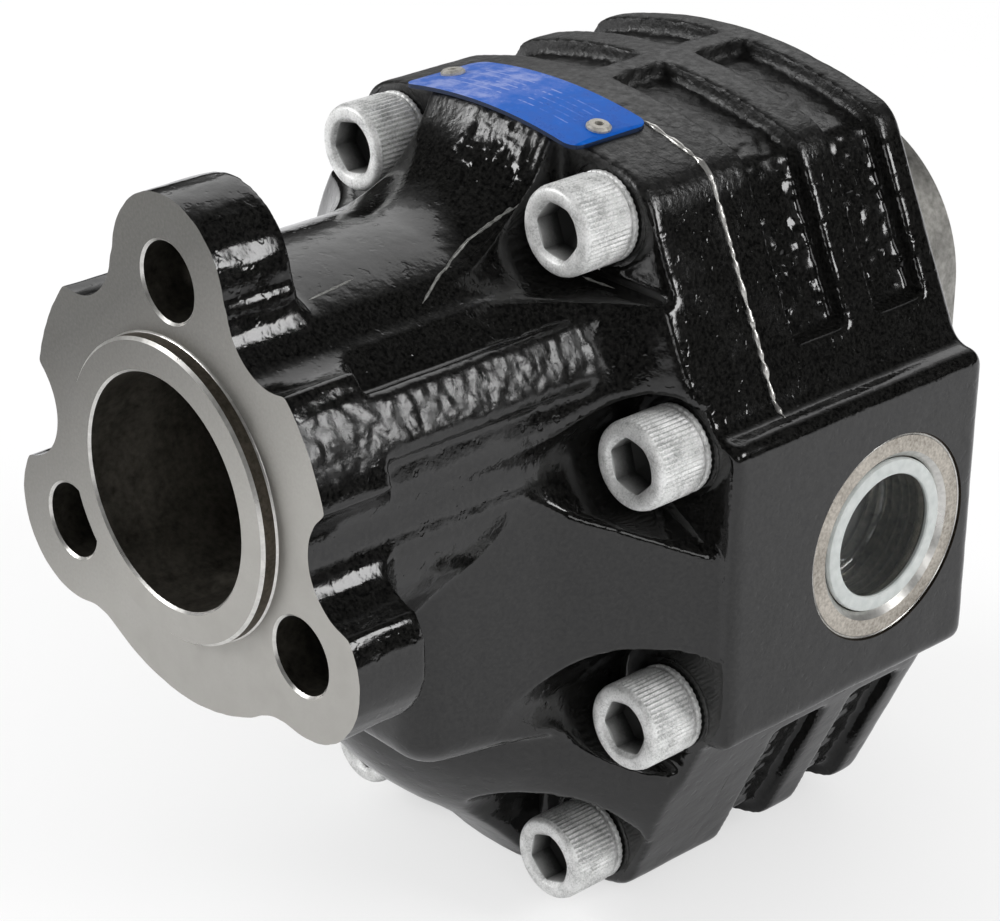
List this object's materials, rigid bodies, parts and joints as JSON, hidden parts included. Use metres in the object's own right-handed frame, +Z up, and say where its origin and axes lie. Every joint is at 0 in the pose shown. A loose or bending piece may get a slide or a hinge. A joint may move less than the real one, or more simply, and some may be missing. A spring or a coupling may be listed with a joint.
{
  "type": "gear pump",
  "caption": "Cast external gear pump with a round bolted flange and pilot, splined drive inside the neck, screwed two-part casing and capped threaded side ports.",
  "frame": {"origin": "centre of the mounting flange's face, on the drive shaft's axis", "axes": "+Z up, from the driven shaft to the drive shaft; -Y out of the mounting flange, along the drive shaft; +X out of the port on the pictured side"},
  "size_m": [0.1334, 0.1873, 0.1694],
  "materials": {
    "black_paint": "gloss black paint over cast iron",
    "zinc_flake_steel": "matt light grey zinc flake coating",
    "ground_steel": "ground",
    "plate_alloy": "machined",
    "seal_rubber": "black nitrile rubber",
    "backup_plastic": "natural",
    "bush_bronze": "plain bearing lining",
    "spring_steel": "phosphated",
    "blue_plate": "satin blue",
    "rivet_alloy": "bright",
    "plug_plastic": "translucent natural plastic"
  },
  "bodies": {
    "housing": {"front_cover": "black_paint", "pump_body": "black_paint", "cover_screws": "zinc_flake_steel", "lock_washers": "zinc_flake_steel", "front_wear_plate": "plate_alloy", "rear_wear_plate": "plate_alloy", "front_plate_seal": "seal_rubber", "rear_plate_seal": "seal_rubber", "front_backup_rings": "backup_plastic", "rear_backup_rings": "backup_plastic", "drive_front_bush": "bush_bronze", "driven_front_bush": "bush_bronze", "drive_rear_bush": "bush_bronze", "driven_rear_bush": "bush_bronze", "outer_shaft_seal": "seal_rubber", "inner_shaft_seal": "seal_rubber", "seal_circlip": "spring_steel", "cover_o_ring": "seal_rubber", "dowel_pins": "ground_steel", "nameplate": "blue_plate", "nameplate_rivets": "rivet_alloy"},
    "drive_shaft": {"drive_gear_shaft": "ground_steel"},
    "driven_shaft": {"driven_gear_shaft": "ground_steel"},
    "right_plug": {"right_port_plug": "plug_plastic"},
    "left_plug": {"left_port_plug": "plug_plastic"}
  },
  "joints": [
    {"name": "drive_spin", "type": "hinge", "parent": "housing", "child": "drive_shaft", "pos_m": [0, 0.1, 0], "axis": [0, 1, 0], "continuous": true},
    {"name": "driven_spin", "type": "hinge", "parent": "housing", "child": "driven_shaft", "pos_m": [0, 0.1, -0.05496], "axis": [0, 1, 0], "continuous": true},
    {"name": "right_plug_pull", "type": "slide", "parent": "housing", "child": "right_plug", "axis": [1, 0, 0], "range_m": [0, 0.03]},
    {"name": "left_plug_pull", "type": "slide", "parent": "housing", "child": "left_plug", "axis": [-1, 0, 0], "range_m": [0, 0.03]}
  ],
  "couplings": [
    {"joint": "driven_spin", "follows": "drive_spin", "ratio": -1}
  ]
}
